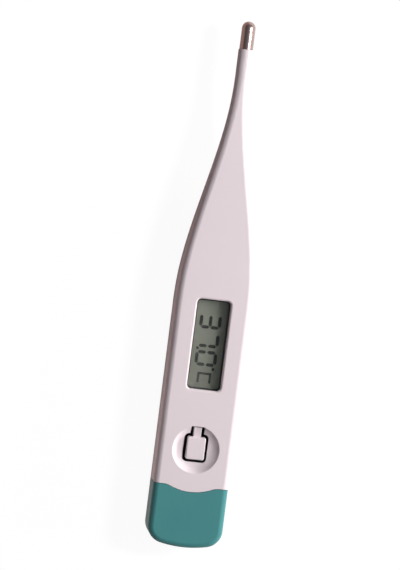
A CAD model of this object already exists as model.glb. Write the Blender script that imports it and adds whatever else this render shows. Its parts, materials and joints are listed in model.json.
# %% [markdown]
# # A digital thermometer, dressed for its picture
#
# The engineering model of the thermometer arrives as a fixed frame: every moulded
# shell, glass, contact and wire already has its real size and place. This lesson gives
# each of them the finish that the hand and the eye expect. A few pieces are copied from
# the frame and shaped further, where a real moulding has softened rims or where a wire
# has to follow two bodies at once.

# %% Load the frame
import json
import math

import bmesh
import bpy
from mathutils import Euler, Matrix, Vector

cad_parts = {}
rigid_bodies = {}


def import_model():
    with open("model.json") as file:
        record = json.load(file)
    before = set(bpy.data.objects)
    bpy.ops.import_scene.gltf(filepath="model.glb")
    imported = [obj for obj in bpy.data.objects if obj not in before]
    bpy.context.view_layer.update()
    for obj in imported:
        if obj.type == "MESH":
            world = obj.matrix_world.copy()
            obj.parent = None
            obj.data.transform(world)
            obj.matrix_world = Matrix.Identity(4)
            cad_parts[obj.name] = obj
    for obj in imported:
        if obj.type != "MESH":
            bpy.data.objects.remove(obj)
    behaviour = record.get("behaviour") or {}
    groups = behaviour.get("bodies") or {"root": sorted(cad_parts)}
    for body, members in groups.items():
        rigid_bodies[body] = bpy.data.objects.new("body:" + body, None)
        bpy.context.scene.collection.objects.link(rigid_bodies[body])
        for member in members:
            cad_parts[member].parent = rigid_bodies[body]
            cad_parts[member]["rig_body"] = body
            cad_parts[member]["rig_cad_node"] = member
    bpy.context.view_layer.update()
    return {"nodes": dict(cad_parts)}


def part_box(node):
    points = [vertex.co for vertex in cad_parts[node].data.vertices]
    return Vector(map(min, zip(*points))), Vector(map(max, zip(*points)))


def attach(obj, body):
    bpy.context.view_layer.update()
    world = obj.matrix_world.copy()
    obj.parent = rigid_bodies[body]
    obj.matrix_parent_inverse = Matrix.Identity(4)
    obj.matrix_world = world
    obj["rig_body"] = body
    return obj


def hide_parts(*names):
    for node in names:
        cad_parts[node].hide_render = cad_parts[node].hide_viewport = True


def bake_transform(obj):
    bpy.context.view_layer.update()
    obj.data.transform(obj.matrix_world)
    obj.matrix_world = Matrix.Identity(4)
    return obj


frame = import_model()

print("nodes:", len(frame["nodes"]))

# %% [markdown]
# ## Units and the places that matter
#
# The frame is in metres, but a thermometer is read in millimetres, so one name turns
# the one into the other. The levels and ends below are read from the frame instead of
# being typed in, so the lesson still fits if a size of the frame changes.

# %% Units and places
MM = 0.001


def span(node, axis):
    """Lowest and highest place of a frame part along one axis."""
    low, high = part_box(node)
    return low[axis], high[axis]


X, Y, Z = 0, 1, 2
FACE = span("housing", Z)[1]
WINDOW_Y = span("display_lens", Y)
WINDOW_X = span("display_lens", X)[1]
STEM_END = span("probe_tip", Y)[0]
TIP_RADIUS = span("probe_tip", X)[1]
STEM_AXIS = sum(span("probe_tip", Z)) / 2
CAP_FRONT = span("battery_cover", Y)[1]
CAP_SIDE = span("battery_cover", X)[1]
print("display face at %.2f mm, window %.2f mm long" % (FACE / MM, (WINDOW_Y[1] - WINDOW_Y[0]) / MM))

# %% [markdown]
# ## The camera
#
# The photograph was taken from almost straight above, a little from the left and from
# the metal end, with a long lens. The three turns below carry the thermometer into the
# camera's own directions. The camera then sits on the opposite side of that turn, at a
# distance of about sixty centimetres. A rotation matrix is easier to trust here than
# hand-set angles, because its transpose gives the camera's turn exactly.

# %% Camera
PICTURE_HEIGHT = 570
LENS_PIXELS = 2554.73
TURNS = (3.14, 6.74, -6.89)
DISTANCE = 599.72 * MM
SIDE_STEP = (3.63 * MM, -0.43 * MM)
AIM = Vector((0, -0.3 * MM, 8 * MM))
SENSOR = 36.0
NEAREST_SEEN = 10 * MM

turn = Euler([math.radians(angle) for angle in TURNS], "XYZ").to_matrix()
place = turn.transposed() @ Vector((-SIDE_STEP[0], -SIDE_STEP[1], DISTANCE))
camera_data = bpy.data.cameras.new("camera")
camera_data.sensor_fit = "VERTICAL"
camera_data.sensor_height = SENSOR
camera_data.lens = LENS_PIXELS / PICTURE_HEIGHT * SENSOR
camera_data.clip_start = NEAREST_SEEN
camera = bpy.data.objects.new("camera", camera_data)
bpy.context.scene.collection.objects.link(camera)
camera.matrix_world = Matrix.Translation(place + AIM) @ turn.transposed().to_4x4()
bpy.context.scene.camera = camera
bpy.context.scene.view_settings.view_transform = "Standard"
print("camera %.0f mm lens, %.0f mm away" % (camera_data.lens, DISTANCE / MM))

# %% [markdown]
# ## Light
#
# One small softbox, half way up on the right, throws the shade into the window and the
# finger dish. A second, low on the right, burns the long right edge out to white, as in a
# product picture. It isn't mirrored, because a bright bar along the tip would give it
# away. A lamp's power grows with the square of its distance, so a small helper works it
# out from the brightness wanted on a surface that faces the lamp.

# %% Light
UNIT_POWER = math.pi ** 2
LAMP_DISTANCE = 0.55


def softbox(name, azimuth, elevation, size, brightness, colour):
    """A rectangular lamp that faces the thermometer. Azimuth 0 is +X, 90 is the metal tip."""
    lamp = bpy.data.lights.new(name, "AREA")
    lamp.shape = "RECTANGLE"
    lamp.size, lamp.size_y = size
    lamp.energy = brightness * UNIT_POWER * LAMP_DISTANCE ** 2
    lamp.color = colour
    holder = bpy.data.objects.new(name, lamp)
    bpy.context.scene.collection.objects.link(holder)
    across, up = math.radians(azimuth), math.radians(elevation)
    direction = Vector((math.cos(across) * math.cos(up), math.sin(across) * math.cos(up), math.sin(up)))
    holder.location = direction * LAMP_DISTANCE + AIM
    holder.rotation_euler = direction.to_track_quat("Z", "Y").to_euler()
    print("%s: %.2f W" % (name, lamp.energy))
    return holder


softbox("key_softbox", azimuth=18, elevation=46, size=(0.09, 0.09), brightness=0.80,
        colour=(1.0, 0.97, 0.975))
edge_lamp = softbox("edge_softbox", azimuth=12, elevation=13, size=(0.36, 0.12), brightness=0.90,
                    colour=(1.0, 0.975, 0.96))
edge_lamp.visible_glossy = False

# %% [markdown]
# ### Three helpers for nodes
#
# The room, the table and every finish are small networks of nodes. Placing and wiring
# them by hand takes many clicks, so one helper adds a node with its settings and values,
# and another joins two sockets. The third adds a ramp, the node used most: between two
# ends of what goes in, what comes out runs from one result to another.

# %% Node helpers
def add_node(tree, kind, settings=None, values=None):
    """A node of a kind, with its settings and the values of its sockets."""
    node = tree.nodes.new("ShaderNode" + kind)
    for key, value in (settings or {}).items():
        setattr(node, key, value)
    for key, value in (values or {}).items():
        node.inputs[key].default_value = value
    return node


def join(tree, source, socket):
    """Joins an output socket to an input socket."""
    tree.links.new(source, socket)


def ramp(tree, ends, results=(0, 1), smooth=False):
    """A MapRange node from two ends to two results, straight or softly eased."""
    return add_node(tree, "MapRange", {"interpolation_type": "SMOOTHSTEP" if smooth else "LINEAR"}, {
        "From Min": ends[0], "From Max": ends[1], "To Min": results[0], "To Max": results[1]})


# %% [markdown]
# ### The room
#
# The room gives a weak fill, cooler overhead and warmer near the table, so shaded sides
# keep some colour. Two ramps read a ray's direction: its rise picks the colour, and its
# lean to the left lowers the strength, which gives the shaded side of the body and the
# polished tip something dark to show.

# %% Room light
ROOM_LEVEL = 0.27
ROOM_LEFT_SHARE = 0.45
ROOM_HIGH = (0.86, 0.92, 1.0, 1)
ROOM_LOW = (1.0, 0.76, 0.71, 1)
RISE = (-0.1, 0.9)
LEFT_TO_RIGHT = (-0.7, 0.3)

world = bpy.data.worlds.new("room")
bpy.context.scene.world = world
world.use_nodes = True
room = world.node_tree
background = room.nodes["Background"]
where = add_node(room, "TexCoord")
split = add_node(room, "SeparateXYZ")
rise = ramp(room, RISE)
side = ramp(room, LEFT_TO_RIGHT, (ROOM_LEVEL * ROOM_LEFT_SHARE, ROOM_LEVEL), smooth=True)
shade = add_node(room, "Mix", {"data_type": "RGBA"}, {"A": ROOM_LOW, "B": ROOM_HIGH})
join(room, where.outputs["Generated"], split.inputs["Vector"])
join(room, split.outputs["Z"], rise.inputs["Value"])
join(room, rise.outputs["Result"], shade.inputs["Factor"])
join(room, shade.outputs["Result"], background.inputs["Color"])
join(room, split.outputs["X"], side.inputs["Value"])
join(room, side.outputs["Result"], background.inputs["Strength"])
print("room light %.2f, on the left %.2f" % (ROOM_LEVEL, ROOM_LEVEL * ROOM_LEFT_SHARE))

# %% [markdown]
# ## The table
#
# The table is a wide plane with a gentle upward sweep at its far edges, extruded from
# one flat plate. Two more helpers open a piece for editing and close it again. Here and
# later, everything is deselected first, because an operator acts on all that is selected.

# %% Table
TABLE_HALF = 1.6
SWEEP = 0.8
SWEEP_SPREAD = 1.3


def start_edit(piece):
    """Selects one piece alone and opens its mesh for editing."""
    bpy.ops.object.select_all(action="DESELECT")
    piece.select_set(True)
    bpy.context.view_layer.objects.active = piece
    bpy.ops.object.mode_set(mode="EDIT")
    bpy.ops.mesh.select_all(action="DESELECT")
    return bmesh.from_edit_mesh(piece.data)


def end_edit(piece):
    """Closes the mesh and returns its piece."""
    bmesh.update_edit_mesh(piece.data)
    bpy.ops.object.mode_set(mode="OBJECT")
    return piece


bpy.ops.object.select_all(action="DESELECT")
bpy.ops.mesh.primitive_plane_add(size=2 * TABLE_HALF, location=(0, 0, 0))
table = bpy.context.active_object
table.name = "table"
mesh = start_edit(table)
bpy.ops.mesh.select_mode(type="EDGE")
for edge in mesh.edges:
    edge.select_set(True)
bpy.ops.mesh.extrude_edges_move(TRANSFORM_OT_translate={"value": (0, 0, SWEEP)})
bpy.ops.transform.resize(value=(SWEEP_SPREAD, SWEEP_SPREAD, 1), center_override=(0, 0, 0))
end_edit(table)
print("table %.1f m wide" % (2 * TABLE_HALF))

# %% [markdown]
# ### What each ray meets on the table
#
# Lit by a real lamp a white table would print as grey, so the camera, mirrors and glass
# see it mostly as a white glow, with a share of real shade left in, which keeps the soft
# shadow under the object. Mirrors see it darker on the left, as if a grey card stood
# close beside the object, so the shaded side keeps its edge against the white. All other
# rays meet a warm matt surface that is duller, most so at the metal end.

# %% Table tones
MATT_TIP_END = (0.36, 0.25, 0.235, 1)
MATT_CAP_END = (0.86, 0.66, 0.62, 1)
MIRRORED_TIP_END = (0.42, 0.31, 0.29, 1)
MIRRORED_CAP_END = (0.80, 0.68, 0.66, 1)
WHITE = (1, 1, 1, 1)
TONE_ALONG = (-55 * MM, 20 * MM)
CARD_ACROSS = (-6 * MM, 3 * MM)

table_surface = bpy.data.materials.new("table_surface")
table_surface.use_nodes = True
top = table_surface.node_tree
top.nodes.clear()
path = add_node(top, "LightPath")
spot = add_node(top, "TexCoord")
apart = add_node(top, "SeparateXYZ")
along = ramp(top, TONE_ALONG)
matt = add_node(top, "Mix", {"data_type": "RGBA"}, {"A": MATT_CAP_END, "B": MATT_TIP_END})
dark = add_node(top, "Mix", {"data_type": "RGBA"}, {"A": MIRRORED_CAP_END, "B": MIRRORED_TIP_END})
card = ramp(top, CARD_ACROSS, smooth=True)
no_card = add_node(top, "Math", {"operation": "MAXIMUM"})
tone = add_node(top, "Mix", {"data_type": "RGBA"}, {"B": WHITE})
join(top, spot.outputs["Object"], apart.inputs["Vector"])
join(top, apart.outputs["Y"], along.inputs["Value"])
join(top, along.outputs["Result"], matt.inputs["Factor"])
join(top, along.outputs["Result"], dark.inputs["Factor"])
join(top, apart.outputs["X"], card.inputs["Value"])
join(top, card.outputs["Result"], no_card.inputs[0])
join(top, path.outputs["Is Camera Ray"], no_card.inputs[1])
join(top, no_card.outputs["Value"], tone.inputs["Factor"])
join(top, dark.outputs["Result"], tone.inputs["A"])
print("table tones: %d nodes" % len(top.nodes))

# %% Table surface
GLOW = 0.945
SHADE_KEPT = 0.08

plain = add_node(top, "BsdfDiffuse")
shaded = add_node(top, "BsdfDiffuse", values={"Color": (SHADE_KEPT, SHADE_KEPT, SHADE_KEPT, 1)})
glow = add_node(top, "Emission", values={"Strength": GLOW})
both = add_node(top, "AddShader")
seen = add_node(top, "Math", {"operation": "MAXIMUM"})
through = add_node(top, "Math", {"operation": "MAXIMUM"})
choose = add_node(top, "MixShader")
out = add_node(top, "OutputMaterial")
join(top, matt.outputs["Result"], plain.inputs["Color"])
join(top, tone.outputs["Result"], glow.inputs["Color"])
join(top, glow.outputs["Emission"], both.inputs[0])
join(top, shaded.outputs["BSDF"], both.inputs[1])
join(top, path.outputs["Is Camera Ray"], seen.inputs[0])
join(top, path.outputs["Is Glossy Ray"], seen.inputs[1])
join(top, seen.outputs["Value"], through.inputs[0])
join(top, path.outputs["Is Transmission Ray"], through.inputs[1])
join(top, through.outputs["Value"], choose.inputs["Fac"])
join(top, plain.outputs["BSDF"], choose.inputs[1])
join(top, both.outputs["Shader"], choose.inputs[2])
join(top, choose.outputs["Shader"], out.inputs["Surface"])
table.data.materials.append(table_surface)
print("table glow %.2f" % GLOW)

# %% [markdown]
# ## Effects that several finishes share
#
# A node group is a small machine: numbers and colours go in, a colour, a mask or a
# height comes out, and each finish sets its own values. One more helper opens a group
# with named sockets.

# %% Group helper
SOCKETS = {"value": "NodeSocketFloat", "colour": "NodeSocketColor", "vector": "NodeSocketVector"}


def open_group(name, inputs, outputs):
    """A node group with named inputs (name, kind, value) and outputs (name, kind)."""
    group = bpy.data.node_groups.new(name, "ShaderNodeTree")
    for label, kind, value in inputs:
        socket = group.interface.new_socket(label, in_out="INPUT", socket_type=SOCKETS[kind])
        socket.default_value = value
    for label, kind in outputs:
        group.interface.new_socket(label, in_out="OUTPUT", socket_type=SOCKETS[kind])
    return group, group.nodes.new("NodeGroupInput"), group.nodes.new("NodeGroupOutput")


# %% [markdown]
# ### Moulded skin
#
# Plastic that comes out of a steel mould is never one flat colour. The melt leaves very
# wide, faint clouds, and the spark-eroded mould leaves a fine, even grain. Two noises of
# very different size do both. The clouds move the colour and the gloss a little, and the
# grain goes out as a height for a Bump node.

# %% Group: moulded skin
CLOUD_SPREAD = (0.3, 0.7)
GLOSS_SPREAD = (0.25, 0.75)
GRAIN_IN_GLOSS = 0.35

skin, into, outof = open_group(
    "moulded_skin",
    [("Color", "colour", (0.8, 0.8, 0.8, 1)), ("Cloud Color", "colour", (0.75, 0.75, 0.75, 1)),
     ("Cloud Scale", "value", 60.0), ("Grain Scale", "value", 5000.0),
     ("Gloss Low", "value", 0.3), ("Gloss High", "value", 0.45)],
    [("Color", "colour"), ("Roughness", "value"), ("Height", "value")])
spot = add_node(skin, "TexCoord")
clouds = add_node(skin, "TexNoise", values={"Detail": 3.0, "Roughness": 0.55})
grain = add_node(skin, "TexNoise", values={"Detail": 2.0, "Roughness": 0.6})
cloud_mix = add_node(skin, "Mix", {"data_type": "RGBA"})
gloss_mix = ramp(skin, GLOSS_SPREAD)
middle = ramp(skin, CLOUD_SPREAD)
blend_gloss = add_node(skin, "Math", {"operation": "MULTIPLY_ADD"}, {1: GRAIN_IN_GLOSS})
join(skin, spot.outputs["Object"], clouds.inputs["Vector"])
join(skin, spot.outputs["Object"], grain.inputs["Vector"])
join(skin, into.outputs["Cloud Scale"], clouds.inputs["Scale"])
join(skin, into.outputs["Grain Scale"], grain.inputs["Scale"])
join(skin, clouds.outputs["Fac"], middle.inputs["Value"])
join(skin, middle.outputs["Result"], cloud_mix.inputs["Factor"])
join(skin, into.outputs["Color"], cloud_mix.inputs["A"])
join(skin, into.outputs["Cloud Color"], cloud_mix.inputs["B"])
join(skin, cloud_mix.outputs["Result"], outof.inputs["Color"])
join(skin, grain.outputs["Fac"], blend_gloss.inputs[0])
join(skin, clouds.outputs["Fac"], blend_gloss.inputs[2])
join(skin, blend_gloss.outputs["Value"], gloss_mix.inputs["Value"])
join(skin, into.outputs["Gloss Low"], gloss_mix.inputs["To Min"])
join(skin, into.outputs["Gloss High"], gloss_mix.inputs["To Max"])
join(skin, gloss_mix.outputs["Result"], outof.inputs["Roughness"])
join(skin, grain.outputs["Fac"], outof.inputs["Height"])
print("group %s: %d nodes" % (skin.name, len(skin.nodes)))

# %% [markdown]
# ### Handling marks
#
# A thermometer is wiped and pocketed, which leaves a few very fine, short rubs, mostly
# along its length. A noise squeezed across the body and stretched along it, cut off high
# up, leaves thin broken streaks. The group gives one mask, which dulls the gloss.

# %% Group: handling marks
STREAK_CUT = (0.62, 0.74)
PATCH_CUT = (0.42, 0.62)

rubs, into, outof = open_group(
    "handling_marks",
    [("Along", "value", 140.0), ("Across", "value", 2600.0), ("Amount", "value", 0.3)],
    [("Mask", "value")])
spot = add_node(rubs, "TexCoord")
stretch = add_node(rubs, "CombineXYZ")
squeezed = add_node(rubs, "VectorMath", {"operation": "MULTIPLY"})
streaks = add_node(rubs, "TexNoise", values={"Scale": 1.0, "Detail": 2.0, "Roughness": 0.5})
patches = add_node(rubs, "TexNoise", values={"Scale": 110.0, "Detail": 1.0})
cut = ramp(rubs, STREAK_CUT)
patch_cut = ramp(rubs, PATCH_CUT)
meet = add_node(rubs, "Math", {"operation": "MULTIPLY"})
scaled = add_node(rubs, "Math", {"operation": "MULTIPLY"})
join(rubs, into.outputs["Across"], stretch.inputs["X"])
join(rubs, into.outputs["Along"], stretch.inputs["Y"])
join(rubs, into.outputs["Across"], stretch.inputs["Z"])
join(rubs, spot.outputs["Object"], squeezed.inputs[0])
join(rubs, stretch.outputs["Vector"], squeezed.inputs[1])
join(rubs, squeezed.outputs["Vector"], streaks.inputs["Vector"])
join(rubs, spot.outputs["Object"], patches.inputs["Vector"])
join(rubs, streaks.outputs["Fac"], cut.inputs["Value"])
join(rubs, patches.outputs["Fac"], patch_cut.inputs["Value"])
join(rubs, cut.outputs["Result"], meet.inputs[0])
join(rubs, patch_cut.outputs["Result"], meet.inputs[1])
join(rubs, meet.outputs["Value"], scaled.inputs[0])
join(rubs, into.outputs["Amount"], scaled.inputs[1])
join(rubs, scaled.outputs["Value"], outof.inputs["Mask"])
print("group %s: %d nodes" % (rubs.name, len(rubs.nodes)))

# %% [markdown]
# ### Drawn metal
#
# Metal that is drawn, rolled or turned keeps fine lines in one direction. The same trick
# of a stretched noise gives them: a vector input says how fast the pattern changes along
# each axis, so one group serves the tip (lines round it), the cell and the strips.

# %% Group: drawn metal
STAIN_CUT = (0.45, 0.75)
STAIN_DEPTH = 0.6
LINES_IN_GLOSS = 0.07

drawn, into, outof = open_group(
    "drawn_metal",
    [("Color", "colour", (0.6, 0.6, 0.6, 1)), ("Dark Color", "colour", (0.4, 0.4, 0.4, 1)),
     ("Grain", "vector", (200.0, 6000.0, 200.0)), ("Roughness", "value", 0.2)],
    [("Color", "colour"), ("Roughness", "value"), ("Height", "value")])
spot = add_node(drawn, "TexCoord")
squeezed = add_node(drawn, "VectorMath", {"operation": "MULTIPLY"})
lines = add_node(drawn, "TexNoise", values={"Scale": 1.0, "Detail": 3.0, "Roughness": 0.6})
stain = add_node(drawn, "TexNoise", values={"Scale": 260.0, "Detail": 3.0, "Roughness": 0.6})
stain_cut = ramp(drawn, STAIN_CUT, (0, STAIN_DEPTH))
metal_mix = add_node(drawn, "Mix", {"data_type": "RGBA"})
line_gloss = add_node(drawn, "Math", {"operation": "MULTIPLY_ADD"}, {1: LINES_IN_GLOSS})
join(drawn, spot.outputs["Object"], squeezed.inputs[0])
join(drawn, into.outputs["Grain"], squeezed.inputs[1])
join(drawn, squeezed.outputs["Vector"], lines.inputs["Vector"])
join(drawn, spot.outputs["Object"], stain.inputs["Vector"])
join(drawn, stain.outputs["Fac"], stain_cut.inputs["Value"])
join(drawn, stain_cut.outputs["Result"], metal_mix.inputs["Factor"])
join(drawn, into.outputs["Color"], metal_mix.inputs["A"])
join(drawn, into.outputs["Dark Color"], metal_mix.inputs["B"])
join(drawn, metal_mix.outputs["Result"], outof.inputs["Color"])
join(drawn, lines.outputs["Fac"], line_gloss.inputs[0])
join(drawn, into.outputs["Roughness"], line_gloss.inputs[2])
join(drawn, line_gloss.outputs["Value"], outof.inputs["Roughness"])
join(drawn, lines.outputs["Fac"], outof.inputs["Height"])
print("group %s: %d nodes" % (drawn.name, len(drawn.nodes)))

# %% [markdown]
# ## Finishes
#
# Every finish starts from the same Principled shader. Colours are written as a picture
# editor shows them, from 0 to 255, and turned into the linear values that a renderer
# adds up, so that each can be compared with the real thing by eye.

# %% Finish helpers
def paint(red, green, blue):
    """A colour as shown on a screen, as the linear values of a shader."""
    linear = []
    for part in (red, green, blue):
        share = part / 255
        linear.append(share / 12.92 if share <= 0.04045 else ((share + 0.055) / 1.055) ** 2.4)
    return (*linear, 1)


def new_finish(name, values=None):
    """A material with a Principled shader, and its tree and shader."""
    finish = bpy.data.materials.new(name)
    finish.use_nodes = True
    shader = finish.node_tree.nodes["Principled BSDF"]
    for key, value in (values or {}).items():
        shader.inputs[key].default_value = value
    return finish, finish.node_tree, shader


def place_group(tree, group, values):
    """A shared effect placed in a finish with its own values."""
    node = tree.nodes.new("ShaderNodeGroup")
    node.node_tree = group
    for key, value in values.items():
        node.inputs[key].default_value = value
    return node


def bump(tree, shader, height, distance):
    """Carries a height into the shader's normal."""
    node = add_node(tree, "Bump", values={"Strength": 1.0, "Distance": distance})
    join(tree, height, node.inputs["Height"])
    join(tree, node.outputs["Normal"], shader.inputs["Normal"])


# %% [markdown]
# ### Moulded plastics
#
# Body, button, cap, carrier, key and resin are all mouldings that differ in colour, gloss
# and grain. One function lays the skin and the handling marks over each other: where a
# rub crosses the surface, the gloss goes dull. After its two colours each plastic has the
# range of its gloss, the fineness and the depth of its grain and the strength of its rubs.
# The three outer mouldings are satin and mirror only half as much as bare plastic would.

# %% Moulded plastics
SATIN = {"Specular IOR Level": 0.25}


def moulded_finish(name, colour, cloud, gloss, grain, depth, rub=0.25, values=None):
    """A moulded plastic: clouds in its colour, grain in its surface and a few rubs."""
    finish, tree, shader = new_finish(name, values)
    surface = place_group(tree, skin, {
        "Color": paint(*colour), "Cloud Color": paint(*cloud), "Grain Scale": grain,
        "Gloss Low": gloss[0], "Gloss High": gloss[1]})
    marks = place_group(tree, rubs, {"Amount": rub})
    dull = add_node(tree, "Math", {"operation": "ADD", "use_clamp": True})
    join(tree, surface.outputs["Color"], shader.inputs["Base Color"])
    join(tree, surface.outputs["Roughness"], dull.inputs[0])
    join(tree, marks.outputs["Mask"], dull.inputs[1])
    join(tree, dull.outputs["Value"], shader.inputs["Roughness"])
    bump(tree, shader, surface.outputs["Height"], depth)
    print("finish", name)
    return finish


white_plastic = moulded_finish(
    "white_body_plastic", (231, 220, 223), (227, 217, 220), (0.34, 0.46), 5200, 0.004 * MM,
    values=SATIN)
button_plastic = moulded_finish(
    "white_button_plastic", (231, 220, 223), (227, 217, 220), (0.34, 0.44), 5200, 0.004 * MM,
    values=SATIN)
teal_plastic = moulded_finish(
    "teal_cap_plastic", (76, 142, 142), (71, 137, 138), (0.34, 0.46), 4800, 0.005 * MM,
    values=SATIN)
carrier_plastic = moulded_finish(
    "grey_carrier_plastic", (214, 214, 208), (204, 204, 198), (0.42, 0.55), 3600, 0.008 * MM, 0.15)
holder_plastic = moulded_finish(
    "white_holder_plastic", (206, 207, 203), (196, 198, 195), (0.45, 0.6), 3600, 0.008 * MM, 0.1)
seal_plastic = moulded_finish(
    "cell_seal_nylon", (176, 170, 150), (160, 154, 136), (0.4, 0.55), 4200, 0.006 * MM, 0.1)
key_rubber = moulded_finish(
    "dark_key_rubber", (38, 38, 40), (28, 28, 30), (0.6, 0.75), 3000, 0.010 * MM, 0.1)
strip_rubber = moulded_finish(
    "contact_strip_rubber", (150, 152, 158), (96, 98, 104), (0.55, 0.7), 2600, 0.010 * MM, 0.1)
gasket_foam = moulded_finish(
    "black_gasket_foam", (30, 28, 28), (22, 21, 21), (0.75, 0.9), 2200, 0.015 * MM, 0.1)
chip_resin = moulded_finish(
    "black_chip_resin", (24, 24, 26), (34, 33, 34), (0.22, 0.4), 1500, 0.02 * MM, 0.2)
sensor_resin = moulded_finish(
    "cream_sensor_resin", (196, 184, 150), (176, 162, 128), (0.35, 0.5), 1600, 0.02 * MM, 0.1)
ceramic_finish = moulded_finish(
    "sounder_ceramic", (222, 220, 208), (200, 198, 186), (0.5, 0.65), 6000, 0.006 * MM, 0.2)

# %% [markdown]
# ### Metals
#
# The tip is polished stainless steel: it has only a faint warm tint of its own and shows
# the dark room on one side and the softbox on the other, so its gloss matters more than
# its colour. The cell, the springs, the sounder disc and the solder share the recipe.

# %% Metals
def metal_finish(name, colour, dark, grain, roughness, depth):
    """A metal with fine lines in the direction where the grain changes slowly."""
    finish, tree, shader = new_finish(name, {"Metallic": 1.0})
    surface = place_group(tree, drawn, {
        "Color": paint(*colour), "Dark Color": paint(*dark), "Grain": grain, "Roughness": roughness})
    join(tree, surface.outputs["Color"], shader.inputs["Base Color"])
    join(tree, surface.outputs["Roughness"], shader.inputs["Roughness"])
    bump(tree, shader, surface.outputs["Height"], depth)
    print("finish", name)
    return finish


tip_steel = metal_finish(
    "polished_tip_steel", (194, 170, 164), (180, 156, 150), (300, 3000, 300), 0.26, 0.00005 * MM)
cell_steel = metal_finish(
    "cell_nickel_steel", (206, 204, 198), (176, 172, 164), (7000, 240, 7000), 0.22, 0.003 * MM)
spring_steel = metal_finish(
    "contact_spring_steel", (198, 194, 184), (168, 162, 150), (5000, 200, 5000), 0.26, 0.003 * MM)
sounder_brass = metal_finish(
    "sounder_brass", (206, 172, 96), (168, 132, 70), (5000, 260, 5000), 0.28, 0.003 * MM)
solder_metal = metal_finish(
    "bright_solder", (198, 198, 200), (150, 150, 154), (1200, 1200, 1200), 0.24, 0.010 * MM)

# %% [markdown]
# ### Clear and half-clear layers
#
# The window lens is solid acrylic. It bends and mirrors what the camera sees, but lamp
# light would be lost in it, so rays that look for a lamp pass straight through. The film
# and the front glass of the display only tint and dim what lies under them, which an
# alpha does well: light and sight both pass by the same share. A ray is given up as black
# after it has crossed a few clear skins, so the rear glass is finished as it is seen, with
# its foil behind it.

# %% Clear lens
LENS_RIPPLE = 0.0004 * MM


def clear_finish(name, tint, index, roughness):
    """A solid clear plastic or glass that lets lamp light through."""
    finish, tree, shader = new_finish(name, {
        "Transmission Weight": 1.0, "IOR": index, "Base Color": paint(*tint)})
    surface = place_group(tree, skin, {
        "Gloss Low": roughness, "Gloss High": roughness * 2, "Grain Scale": 900})
    join(tree, surface.outputs["Roughness"], shader.inputs["Roughness"])
    bump(tree, shader, surface.outputs["Height"], LENS_RIPPLE)
    path = add_node(tree, "LightPath")
    open_way = add_node(tree, "BsdfTransparent")
    choose = add_node(tree, "MixShader")
    join(tree, path.outputs["Is Shadow Ray"], choose.inputs["Fac"])
    join(tree, shader.outputs["BSDF"], choose.inputs[1])
    join(tree, open_way.outputs["BSDF"], choose.inputs[2])
    join(tree, choose.outputs["Shader"], tree.nodes["Material Output"].inputs["Surface"])
    print("finish", name)
    return finish


lens_plastic = clear_finish("clear_lens_plastic", (250, 251, 250), 1.30, 0.015)
bead_glass = clear_finish("sensor_bead_glass", (150, 170, 190), 1.50, 0.05)

# %% Display layers
LAYER_GLOSS = (0.12, 0.2)
LAYER_CLOUD = 0.93
LAYER_THIN = 0.96


def layer_finish(name, colour, alpha):
    """A thin tinted layer of the display, with faint clouds in how much it hides."""
    finish, tree, shader = new_finish(name)
    surface = place_group(tree, skin, {
        "Color": paint(*colour), "Cloud Color": paint(*[part * LAYER_CLOUD for part in colour]),
        "Cloud Scale": 130.0, "Gloss Low": LAYER_GLOSS[0], "Gloss High": LAYER_GLOSS[1],
        "Grain Scale": 9000})
    veil = ramp(tree, LAYER_GLOSS, (alpha * LAYER_THIN, alpha))
    join(tree, surface.outputs["Color"], shader.inputs["Base Color"])
    join(tree, surface.outputs["Roughness"], shader.inputs["Roughness"])
    join(tree, surface.outputs["Roughness"], veil.inputs["Value"])
    join(tree, veil.outputs["Result"], shader.inputs["Alpha"])
    print("finish", name)
    return finish


display_film = layer_finish("display_polariser_film", (92, 95, 84), 0.06)
display_glass = layer_finish("display_thin_glass", (150, 160, 150), 0.03)

# %% [markdown]
# ### The liquid crystal itself
#
# Behind the glasses a matt foil throws the light back, olive grey with a very fine
# sparkle. The segments are thin dark plates in the cell, between the two glasses, so each
# one drops a small shade of its own and doesn't look printed.

# %% Display foil and segments
FOIL_CLOUD = 0.96
FOIL_GRAIN = 0.003 * MM
SPARK_SPREAD = (0.3, 0.7)


def foil_finish(name, colour, sparkle):
    """A matt foil with a fine sparkle."""
    finish, tree, shader = new_finish(name)
    surface = place_group(tree, skin, {
        "Color": paint(*colour), "Cloud Color": paint(*[part * FOIL_CLOUD for part in colour]),
        "Cloud Scale": 90.0, "Gloss Low": 0.5, "Gloss High": 0.7, "Grain Scale": 7000})
    spark = ramp(tree, SPARK_SPREAD, (1 - sparkle, 1 + sparkle))
    lit = add_node(tree, "VectorMath", {"operation": "SCALE"})
    join(tree, surface.outputs["Height"], spark.inputs["Value"])
    join(tree, surface.outputs["Color"], lit.inputs[0])
    join(tree, spark.outputs["Result"], lit.inputs["Scale"])
    join(tree, lit.outputs["Vector"], shader.inputs["Base Color"])
    join(tree, surface.outputs["Roughness"], shader.inputs["Roughness"])
    bump(tree, shader, surface.outputs["Height"], FOIL_GRAIN)
    print("finish", name)
    return finish


backed_glass = foil_finish("display_backed_glass", (180, 183, 166), 0.06)
reflector_foil = foil_finish("display_reflector_foil", (172, 176, 160), 0.08)
segment_ink = foil_finish("display_segment_dark", (16, 18, 13), 0.15)

# %% [markdown]
# ### Board, parts and wires
#
# The board's green lacquer lies over etched copper, which shows as slightly paler lines
# where the lacquer is raised. A brick pattern read on a fine grid gives such right-angled
# runs without any drawing. The small parts are ceramic blocks with tinned ends, and the
# wires have coloured enamel.

# %% Board lacquer
LACQUER = (26, 92, 58)
TRACE = (44, 120, 76)
TRACE_HEIGHT = 0.02 * MM

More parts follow.
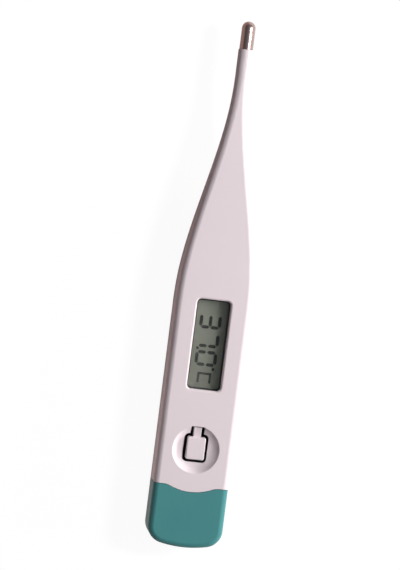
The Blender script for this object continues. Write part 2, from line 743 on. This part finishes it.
board_lacquer, tree, shader = new_finish("green_board_lacquer")
spot = add_node(tree, "TexCoord")
tracks = add_node(tree, "TexBrick", {"offset": 0.37, "squash": 1.6, "squash_frequency": 3}, {
    "Scale": 420.0, "Mortar Size": 0.018, "Mortar Smooth": 0.1, "Brick Width": 1.3, "Row Height": 0.5})
lacquer = add_node(tree, "Mix", {"data_type": "RGBA"}, {"A": paint(*LACQUER), "B": paint(*TRACE)})
surface = place_group(tree, skin, {"Gloss Low": 0.26, "Gloss High": 0.4, "Grain Scale": 2600})
join(tree, spot.outputs["Object"], tracks.inputs["Vector"])
join(tree, tracks.outputs["Fac"], lacquer.inputs["Factor"])
join(tree, lacquer.outputs["Result"], shader.inputs["Base Color"])
join(tree, surface.outputs["Roughness"], shader.inputs["Roughness"])
bump(tree, shader, tracks.outputs["Fac"], TRACE_HEIGHT)
print("finish", board_lacquer.name)

# %% Small parts and wires
component_body = moulded_finish(
    "small_part_ceramic", (120, 92, 66), (104, 80, 58), (0.3, 0.45), 5200, 0.006 * MM, 0.2)
lead_enamel = moulded_finish(
    "lead_wire_enamel", (150, 52, 40), (132, 44, 34), (0.22, 0.32), 3000, 0.004 * MM, 0.15)

# %% [markdown]
# ## The body shell
#
# The frame's housing has the exact form of the moulding, but its rims are knife sharp,
# which no mould can make and no light can catch. A copy of it is merged into one skin,
# its flat areas are dissolved into whole faces, and the rims are picked by where they
# lie and bevelled: widely round the window, less round the finger dish, barely at the end
# of the stem. A bevel would tilt the shading of the large flat face beside it, so the
# weighted normal modifier gives the big faces the last word. Round the window the bevel
# isn't held back by the short edges of the corners, because it only grows outwards there.

# %% Copy and bevel helpers
MERGE = 0.002 * MM
FLAT_ANGLE = math.radians(0.05)
SMOOTH_ANGLE = math.radians(40)
SHARP_ANGLE = math.radians(20)
NEAR = 0.02 * MM


def copy_of(node, name):
    """A copy of a frame part as a piece of its own, merged into one skin."""
    bpy.ops.object.select_all(action="DESELECT")
    source = frame["nodes"][node]
    source.select_set(True)
    bpy.context.view_layer.objects.active = source
    bpy.ops.object.duplicate()
    piece = bpy.context.active_object
    piece.name = piece.data.name = name
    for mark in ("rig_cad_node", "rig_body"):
        del piece[mark]
    bpy.ops.object.parent_clear(type="CLEAR")
    bpy.ops.mesh.customdata_custom_splitnormals_clear()
    start_edit(piece)
    bpy.ops.mesh.select_all(action="SELECT")
    bpy.ops.mesh.remove_doubles(threshold=MERGE)
    bpy.ops.mesh.dissolve_limited(angle_limit=FLAT_ANGLE)
    return end_edit(piece)


def bevel_where(piece, rule, width, segments, clamp=True):
    """Bevels the sharp edges that a rule picks from their two ends."""
    mesh = start_edit(piece)
    bpy.ops.mesh.select_mode(type="EDGE")
    count = 0
    for edge in mesh.edges:
        sharp = len(edge.link_faces) == 2 and edge.calc_face_angle(0) > SHARP_ANGLE
        if sharp and rule(edge.verts[0].co, edge.verts[1].co):
            edge.select_set(True)
            count += 1
    if count:
        bpy.ops.mesh.bevel(offset=width, segments=segments, profile=0.5, affect="EDGES",
                           clamp_overlap=clamp)
    end_edit(piece)
    print("%s: %d edges bevelled by %.2f mm" % (piece.name, count, width / MM))


def finish_piece(piece, node, material, body=None):
    """Smooths a finished piece, colours it and lets it stand for its frame part."""
    bpy.ops.object.select_all(action="DESELECT")
    piece.select_set(True)
    bpy.context.view_layer.objects.active = piece
    bpy.ops.object.shade_smooth_by_angle(angle=SMOOTH_ANGLE)
    bpy.ops.object.modifier_add(type="WEIGHTED_NORMAL")
    piece.modifiers[-1].keep_sharp = True
    bpy.ops.object.modifier_apply(modifier=piece.modifiers[-1].name)
    piece.data.materials.clear()
    piece.data.materials.append(material)
    if body:
        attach(piece, body)
    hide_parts(node)
    print("%s: %d faces" % (piece.name, len(piece.data.polygons)))


# %% Body shell
DISH_BACK = CAP_FRONT + 1.5 * MM
DISH_REACH = 5.7 * MM
RIM_MARGIN = 0.05 * MM
WINDOW_ROUND = 0.5 * MM
DISH_ROUND = 0.30 * MM
STEM_ROUND = 0.14 * MM

shell = copy_of("housing", "body_shell")


def on_face(start, end):
    """True for an edge that lies in the display face."""
    return min(start.z, end.z) > FACE - NEAR


def window_rim(start, end):
    """The four sides and corners of the display window."""
    low, high = WINDOW_Y
    inside = [low - MM < point.y < high + MM and abs(point.x) < WINDOW_X + MM / 2
              for point in (start, end)]
    return on_face(start, end) and all(inside)


def dish_rim(start, end):
    """The round rim of the finger dish."""
    inside = [DISH_BACK < point.y < WINDOW_Y[0] - MM and abs(point.x) < DISH_REACH
              for point in (start, end)]
    return on_face(start, end) and all(inside)


def stem_rim(start, end):
    """The front end of the plastic stem."""
    far = [math.hypot(point.x, point.z - STEM_AXIS) for point in (start, end)]
    at_end = min(start.y, end.y) > STEM_END - RIM_MARGIN and max(start.y, end.y) < STEM_END + MM / 4
    return at_end and min(far) > TIP_RADIUS + RIM_MARGIN


bevel_where(shell, window_rim, WINDOW_ROUND, segments=5, clamp=False)
bevel_where(shell, dish_rim, DISH_ROUND, segments=4)
bevel_where(shell, stem_rim, STEM_ROUND, segments=3)
finish_piece(shell, "housing", white_plastic, body="housing")

# %% [markdown]
# ## The battery cap
#
# The cap is pulled off with two fingers. Its crowned end and long edges are already
# round in the frame. The mouth, where teal meets white, gets a very fine bevel, so that
# the seam draws a thin line of light and shade instead of vanishing.

# %% Battery cap
MOUTH_ROUND = 0.08 * MM
MOUTH_SIDE = CAP_SIDE - 0.1 * MM
MOUTH_BACK = CAP_FRONT - 1.7 * MM

cap = copy_of("battery_cover", "cap_shell")


def mouth_rim(start, end):
    """The outer edge of the cap's mouth."""
    outside = [abs(point.x) > MOUTH_SIDE or point.z > FACE - NEAR or point.z < NEAR
               for point in (start, end)]
    return min(start.y, end.y) > MOUTH_BACK and all(outside)


bevel_where(cap, mouth_rim, MOUTH_ROUND, segments=2)
finish_piece(cap, "battery_cover", teal_plastic, body="battery_cover")

# %% [markdown]
# ## The button
#
# The pad and its narrow strip are one tongue, moulded in one piece with the body and
# freed by a slot: pressing the pad bends the strip. The frame turns the tongue on two
# small pins instead. Here the pins are deleted, the end of the strip is pulled into the
# wall of the dish, and the strip is divided along its length, so that it can be blended:
# at the wall it stays with the body, at the pad it follows the button.

# %% Button
STRIP_CUT = 1.7 * MM
INTO_WALL = 0.4 * MM
STRIP_STEPS = 5
STRIP_ROUND = 0.12 * MM
STRIP_SHORTEST = 0.3 * MM
STRIP_DROP = 0.3 * MM

tongue = copy_of("power_button", "button_tongue")
tongue_end = span("power_button", Y)[1]
pad_top = span("power_button", Z)[1]
cut_place = tongue_end - STRIP_CUT

start_edit(tongue)
bpy.ops.mesh.select_all(action="SELECT")
bpy.ops.mesh.bisect(plane_co=(0, cut_place, 0), plane_no=(0, 1, 0), clear_outer=True, use_fill=True)
bpy.ops.mesh.select_all(action="DESELECT")
bpy.ops.mesh.select_mode(type="FACE")
mesh = bmesh.from_edit_mesh(tongue.data)
for face in mesh.faces:
    face.select_set(all(abs(corner.co.y - cut_place) < NEAR for corner in face.verts))
print("cut faces:", sum(face.select for face in mesh.faces))
step = (STRIP_CUT + INTO_WALL) / STRIP_STEPS
for number in range(STRIP_STEPS):
    bpy.ops.mesh.extrude_region_move(TRANSFORM_OT_translate={"value": (0, step, 0)})
end_edit(tongue)


def strip_edge(start, end):
    """The long upper edges of the strip."""
    level = pad_top - MM < min(start.z, end.z) and max(start.z, end.z) < pad_top - STRIP_DROP
    return level and abs(start.x - end.x) < NEAR and abs(end.y - start.y) > STRIP_SHORTEST


bevel_where(tongue, strip_edge, STRIP_ROUND, segments=3)
finish_piece(tongue, "power_button", button_plastic)
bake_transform(tongue)

# %% [markdown]
# ## The gasket of the window
#
# A thin ring of black foam lies between the lens and the display. It keeps dust out, and
# from above it draws the fine dark line round the glass. A plate of the window's size
# gets its corners rounded, is inset once, loses its middle and is drawn down to a ring.

# %% Window gasket
GASKET_WIDTH = 0.30 * MM
GASKET_TOP = span("display_lens", Z)[0] - 0.01 * MM
GASKET_BOTTOM = span("front_polariser", Z)[1] + 0.07 * MM
WINDOW_CORNER = 1.0 * MM

bpy.ops.object.select_all(action="DESELECT")
bpy.ops.mesh.primitive_plane_add(size=2, location=(0, sum(WINDOW_Y) / 2, GASKET_TOP))
gasket = bpy.context.active_object
gasket.name = gasket.data.name = "window_gasket"
gasket.scale = (WINDOW_X, (WINDOW_Y[1] - WINDOW_Y[0]) / 2, 1)
bpy.ops.object.transform_apply(location=True, rotation=False, scale=True)
start_edit(gasket)
bpy.ops.mesh.select_all(action="SELECT")
bpy.ops.mesh.bevel(offset=WINDOW_CORNER, segments=6, affect="VERTICES")
bpy.ops.mesh.select_mode(type="FACE")
bpy.ops.mesh.select_all(action="SELECT")
bpy.ops.mesh.inset(thickness=GASKET_WIDTH)
bpy.ops.mesh.delete(type="FACE")
bpy.ops.mesh.select_all(action="SELECT")
bpy.ops.mesh.extrude_region_move(TRANSFORM_OT_translate={"value": (0, 0, GASKET_BOTTOM - GASKET_TOP)})
bpy.ops.mesh.select_all(action="SELECT")
bpy.ops.mesh.normals_make_consistent(inside=False)
end_edit(gasket)
bpy.ops.object.shade_smooth_by_angle(angle=SMOOTH_ANGLE)
gasket.data.materials.append(gasket_foam)
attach(gasket, "housing")
print("gasket: %d faces" % len(gasket.data.polygons))

# %% [markdown]
# ## The sensor leads
#
# Two enamelled wires run from the board to the sensor in the tip. The board slides out
# with the carrier, but the sensor stays, so a wire that belonged to either one alone
# would tear away from the other. The wires are cut into short lengths and blended:
# near the tip they follow the body, near the board the carrier.

# %% Sensor leads
leads = copy_of("lead_wires", "sensor_leads")
start_edit(leads)
bpy.ops.mesh.select_all(action="SELECT")
bpy.ops.mesh.subdivide(number_cuts=2)
end_edit(leads)
bpy.ops.object.shade_smooth_by_angle(angle=SMOOTH_ANGLE)
leads.data.materials.clear()
leads.data.materials.append(lead_enamel)
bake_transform(leads)
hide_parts("lead_wires")

# %% [markdown]
# ## Frame parts that keep their own mesh
#
# Everything else already has the right shape. Each part only changes its placeholder
# colour for a finish of its own.

# %% Dress the frame parts
DRESS = {
    "display_lens": lens_plastic,
    "probe_tip": tip_steel,
    "tip_filler": sensor_resin,
    "thermistor_bead": bead_glass,
    "carrier_frame": carrier_plastic,
    "circuit_board": board_lacquer,
    "display_holder": holder_plastic,
    "display_segments": segment_ink,
    "front_polariser": display_film,
    "front_glass": display_glass,
    "rear_glass": backed_glass,
    "rear_reflector": reflector_foil,
    "zebra_strip": strip_rubber,
    "switch_dome": spring_steel,
    "rubber_key": key_rubber,
    "chip_blob": chip_resin,
    "chip_components": component_body,
    "buzzer_disc": sounder_brass,
    "buzzer_ceramic": ceramic_finish,
    "buzzer_pins": spring_steel,
    "battery_can": cell_steel,
    "battery_gasket": seal_plastic,
    "battery_lid": cell_steel,
    "battery_positive_contact": spring_steel,
    "battery_negative_contact": spring_steel,
    "solder_joints": solder_metal,
}
REPLACED = {"housing", "battery_cover", "power_button", "lead_wires"}

for node, material in DRESS.items():
    part = frame["nodes"][node]
    part.data.materials.clear()
    part.data.materials.append(material)
left_plain = set(frame["nodes"]) - set(DRESS) - REPLACED
print("dressed %d parts, left plain: %s" % (len(DRESS), sorted(left_plain) or "none"))
